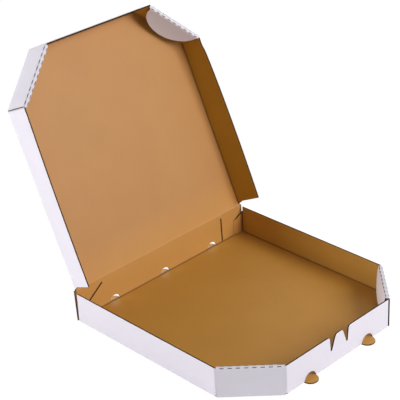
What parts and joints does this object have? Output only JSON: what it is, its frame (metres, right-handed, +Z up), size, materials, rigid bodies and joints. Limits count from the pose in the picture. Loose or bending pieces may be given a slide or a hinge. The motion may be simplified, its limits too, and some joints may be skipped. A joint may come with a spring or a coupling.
{
  "type": "pizza box",
  "caption": "Open square pizza box of folded corrugated board, white outside and brown inside, with cut-off front corners and a hinged lid that closes inside the tray.",
  "frame": {"origin": "centre of the tray's underside, on the surface that the box stands on", "axes": "+X to the right along the front wall, +Y from the front wall to the rear wall, +Z up"},
  "size_m": [0.323, 0.4683, 0.3542],
  "materials": {
    "tray_board": "uncoated corrugated board, white outside and brown inside",
    "lid_board": "uncoated corrugated board, white outside and brown inside"
  },
  "bodies": {
    "tray": {"tray": "tray_board"},
    "lid": {"lid": "lid_board"}
  },
  "joints": [
    {"name": "lid_hinge", "type": "hinge", "parent": "tray", "child": "lid", "pos_m": [0, 0.1626, 0.0455], "axis": [-1, 0, 0], "range_deg": [-114.5, 72.5]}
  ]
}
